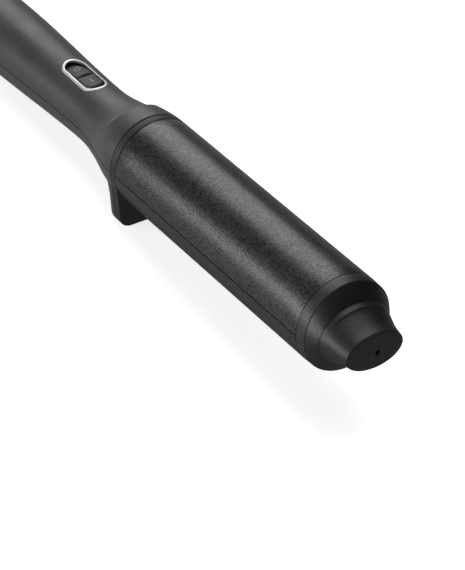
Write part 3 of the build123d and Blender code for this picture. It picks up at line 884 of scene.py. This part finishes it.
def build_rocker():
    """Rocker with a dished front half below a crescent step, and raised O and I marks."""
    half = RING_HALF - ROCKER_SHRINK
    rear_centre = RING_REAR + RING_HALF + 0.2
    nose_centre = RING_FRONT - RING_HALF - 0.7
    behind = through([(-15, 6.0), (-8, 6.3), (-2, 6.85), (1.5, 7.1)])
    ahead = through([(0, 6.2), (4, 5.85), (8, 5.7), (13, 5.7), (15, 5.6)])

    def reach(y):
        """Rear and front limits, as x, at a distance from the middle."""
        length = sqrt(max(half * half - y * y, 0))
        return rear_centre - length, nose_centre + length

    def to_edge(x, y):
        """Distance to the rocker's outline."""
        if x < rear_centre:
            return half - hypot(x - rear_centre, y)
        if x > nose_centre:
            return half - hypot(x - nose_centre, y)
        return half - abs(y)

    def raised(u, y, height):
        """Place in the wand's frame from the rocker's own axes."""
        x = PIVOT_X + u * cos(ROCKER_LEAN) - height * sin(ROCKER_LEAN)
        return Vector((x, y, PIVOT_Z + u * sin(ROCKER_LEAN) + height * cos(ROCKER_LEAN)))

    def step_at(y):
        return STEP_AT + 0.3 * (y / half) ** 2

    def top(u, y, front):
        share = sqrt(max(1 - (y / (half * 0.93)) ** 2, 0))
        mean = (behind(min(u, STEP_AT)) + ahead(max(u, 0))) / 2
        fade = share * exp(-abs(u - step_at(y)) * (1 - share) / 2)
        plain = ahead(u) if front else behind(u)
        height = mean + (plain - mean) * fade if abs(u - STEP_AT) < 3 else plain
        crown = ROCKER_CROWN_R - sqrt(ROCKER_CROWN_R**2 - y * y)
        edge = min(max(to_edge(PIVOT_X + u, y), 0), ROCKER_EDGE)
        # 0.49 is ROCKER_EDGE squared.
        rounding = ROCKER_EDGE - sqrt(0.49 - (ROCKER_EDGE - edge) ** 2)
        return height - crown - rounding

    bm = bmesh.new()
    rows = []
    for phi in steps(-90, 90, 49):
        y = half * sin(radians(phi))
        back, front = reach(y)
        line = []
        for u in steps(back - PIVOT_X, step_at(y) - 0.12, 26):
            line.append(bm.verts.new(raised(u, y, top(u, y, False))))
        for u in steps(step_at(y) + 0.12, front - PIVOT_X, 26):
            line.append(bm.verts.new(raised(u, y, top(u, y, True))))
        rows.append(line)
    for a, b in zip(rows, rows[1:]):
        for i in range(len(a) - 1):
            bm.faces.new((a[i], a[i + 1], b[i + 1], b[i]))
    rim = [e for e in bm.edges if e.is_boundary]
    made = bmesh.ops.extrude_edge_only(bm, edges=rim)["geom"]
    low = [v for v in made if isinstance(v, bmesh.types.BMVert)]
    down = Vector((sin(ROCKER_LEAN), 0, -cos(ROCKER_LEAN))) * ROCKER_DEPTH
    bmesh.ops.translate(bm, verts=low, vec=down)
    bmesh.ops.holes_fill(bm, edges=[e for e in bm.edges if e.is_boundary], sides=0)
    bmesh.ops.remove_doubles(bm, verts=bm.verts, dist=0.001)
    bmesh.ops.recalc_face_normals(bm, faces=bm.faces)
    piece(
        "rocker_cap",
        bm,
        materials["rocker_plastic"],
        body="rocker",
        stands_for=["rocker"],
        sharp=50,
    )

    def bead(centre, long_half, wide_half, turns, width):
        """Closed raised line on the rocker: an oval of half sizes, its bead of a width."""
        loops = []
        for i in range(turns):
            a = 2 * pi * i / turns
            out_u, out_y = cos(a), sin(a)
            u, y = centre + long_half * out_u, wide_half * out_y
            front = u > 0
            loop = []
            for k in range(10):
                b = 2 * pi * k / 10
                away = width * cos(b)
                height = top(u, y, front) + width * 0.9 * sin(b)
                loop.append(raised(u + away * out_u, y + away * out_y, height))
            loops.append(loop)
        return skin(loops, joined=True)

    for name, bm in (
        ("off_mark", bead(-7.4, 1.75, 1.75, 48, 0.38)),
        ("on_mark", bead(7.9, 1.9, 0.12, 48, 0.34)),
    ):
        piece(name, bm, switch_mark, body="rocker")


def build_gland():
    """Rotating cord gland: a stepped collar with a rounded lip round the cord's hole."""
    e = HANDLE_END
    profile = [(e - 8, 3.4)]
    profile += [(e - 8, 5.6)] + bend(e - 7.4, 5.6, 0.6, 180, 90, 6)[1:]
    profile += [(e - 5.5, 6.6), (e - 4.2, 7.3)]
    profile += [(e - 3.2, 8.0)] + bend(e - 2.0, 7.9, 0.8, 120, 70, 5)
    profile += bend(e - 0.8, 8.0, 0.6, 80, 0, 5)
    profile += [(e - 0.15, 6.94), (e + 3.7, 6.94), (e + 3.7, 9.9), (e + 6.8, 9.9), (e + 6.8, 4.0)]
    profile += [(e + 28.4, 4.0), (e + 28.4, 3.4), (e + 29.2, 3.4), (e + 29.2, 4.0), (e + 30.6, 4.0)]
    profile += [(e + 30.6, 2.0), (e + 7, 2.0), (e + 7, 3.4)]
    piece(
        "cord_gland_collar",
        turned(profile, 96),
        materials["gland_plastic"],
        body="cord_gland",
        stands_for=["cord_swivel"],
    )


build_housing()
build_bulkhead()
build_barrel()
build_band_and_cone()
build_tip()
build_bezel()
build_rocker()
build_gland()

# ---- the CAD nodes that stay get their slot's material ----
for part in frame["record"]["subparts"]:
    kept = nodes[part["node"]]
    kept.data.materials.clear()
    kept.data.materials.append(materials[part["material_slot"]])

# ---- floor, light and camera ----
# The camera sees a nearly white floor and world. All other rays meet a greyer floor and a dim
# world, so the dark plastic and coating keep their depth.
FLOOR_HALF = 30.0
FLOOR_GLOW = 0.68
WORLD_SEEN, WORLD_DIM = 0.95, 0.06
floor_material, floor_tree, floor_shader, floor_where = tree_of("pale_floor")
floor_cloud = spread(floor_tree, noise(floor_tree, floor_where, 2.5, 3), 0, 1)
lit_tint = tint(floor_tree, floor_cloud, (0.86, 0.86, 0.86), (0.88, 0.88, 0.88))
mirrored_tint = tint(floor_tree, floor_cloud, (0.42, 0.42, 0.42), (0.45, 0.45, 0.45))
floor_seen = floor_tree.nodes.new("ShaderNodeLightPath").outputs["Is Camera Ray"]
floor_tint = floor_tree.nodes.new("ShaderNodeMix")
floor_tint.data_type = "RGBA"
floor_tree.links.new(floor_seen, floor_tint.inputs["Factor"])
floor_tree.links.new(mirrored_tint, floor_tint.inputs["A"])
floor_tree.links.new(lit_tint, floor_tint.inputs["B"])
floor_tree.links.new(floor_tint.outputs["Result"], floor_shader.inputs["Base Color"])
floor_glow = spread(floor_tree, floor_seen, 0, FLOOR_GLOW, 0, 1)
floor_tree.links.new(floor_glow, floor_shader.inputs["Emission Strength"])
floor_shader.inputs["Emission Color"].default_value = (1, 1, 1, 1)
floor_shader.inputs["Roughness"].default_value = 0.9
floor_shader.inputs["Specular IOR Level"].default_value = 0.1
floor_bm = bmesh.new()
bmesh.ops.create_grid(floor_bm, x_segments=1, y_segments=1, size=FLOOR_HALF)
floor = piece("floor", floor_bm, floor_material, body=None, place=Matrix.Identity(4))


def soft_light(name, place, aim, width, height, power):
    """Rectangular area light at a place in metres, facing a point."""
    data = bpy.data.lights.new(name, "AREA")
    data.shape = "RECTANGLE"
    data.size, data.size_y = width, height
    data.energy = power
    light = bpy.data.objects.new(name, data)
    bpy.context.scene.collection.objects.link(light)
    light.location = place
    light.rotation_mode = "QUATERNION"
    light.rotation_quaternion = (Vector(aim) - Vector(place)).to_track_quat("-Z", "Y")


BARREL_MIDDLE = tuple(ROOT + ALONG * 0.08)
TIP_ROOT = tuple(ROOT + ALONG * 0.18)
LOWEST_LIGHT = 0.14


def row_place(x, y, z):
    """Place measured from the barrel's middle along the floor's axes, kept well off the floor."""
    return (BARREL_MIDDLE[0] + x, BARREL_MIDDLE[1] + y, max(BARREL_MIDDLE[2] + z, LOWEST_LIGHT))


soft_light(
    "key_behind_above",
    row_place(-1.03, 0.39, 0.96),
    BARREL_MIDDLE,
    width=0.9,
    height=1.4,
    power=12.5,
)
soft_light(
    "near_side_low",
    row_place(-0.34, -0.82, 0.14),
    BARREL_MIDDLE,
    width=0.9,
    height=0.3,
    power=4.6,
)
soft_light(
    "near_side_front",
    row_place(0.42, -0.75, 0.12),
    TIP_ROOT,
    width=0.75,
    height=0.3,
    power=5.0,
)
soft_light("overhead", (-0.15, 0.35, 2.0), (0.1, 0, 0), width=1.6, height=1.6, power=12)

world = bpy.data.worlds.new("studio")
bpy.context.scene.world = world
world.use_nodes = True
world_tree = world.node_tree
seen = world_tree.nodes["Background"]
seen.inputs["Color"].default_value = (1, 1, 1, 1)
seen.inputs["Strength"].default_value = WORLD_SEEN
dim = world_tree.nodes.new("ShaderNodeBackground")
dim.inputs["Color"].default_value = (0.9, 0.95, 1, 1)
dim.inputs["Strength"].default_value = WORLD_DIM
rays = world_tree.nodes.new("ShaderNodeLightPath")
mixed = world_tree.nodes.new("ShaderNodeMixShader")
world_tree.links.new(rays.outputs["Is Camera Ray"], mixed.inputs["Fac"])
world_tree.links.new(dim.outputs["Background"], mixed.inputs[1])
world_tree.links.new(seen.outputs["Background"], mixed.inputs[2])
world_tree.links.new(mixed.outputs["Shader"], world_tree.nodes["World Output"].inputs["Surface"])
bpy.context.scene.view_settings.view_transform = "Standard"

# The camera, in the wand's frame: it looks back along the barrel from the tip's near side.
AZIMUTH, ELEVATION, ROLL = radians(57.724), radians(34.770), radians(-0.610)
DISTANCE = 1429.4
TARGET_X = 60.0
ASIDE, ABOVE = 6.969, -34.778
back = Vector((sin(AZIMUTH) * cos(ELEVATION), -cos(AZIMUTH) * cos(ELEVATION), sin(ELEVATION)))
level = Vector((cos(AZIMUTH), sin(AZIMUTH), 0))
rise = back.cross(level)
right = level * cos(ROLL) + rise * sin(ROLL)
top = rise * cos(ROLL) - level * sin(ROLL)
eye = Vector((TARGET_X, 0, 0)) + back * DISTANCE + right * ASIDE + top * ABOVE
camera_data = bpy.data.cameras.new("camera")
camera_data.sensor_width = 36.0
camera_data.lens = 180.0
camera_data.clip_start, camera_data.clip_end = 0.05, 100.0
camera = bpy.data.objects.new("camera", camera_data)
bpy.context.scene.collection.objects.link(camera)
camera.matrix_world = (
    Matrix.Translation(WAND @ eye) @ TURN @ Matrix((right, top, back)).transposed().to_4x4()
)
bpy.context.scene.camera = camera
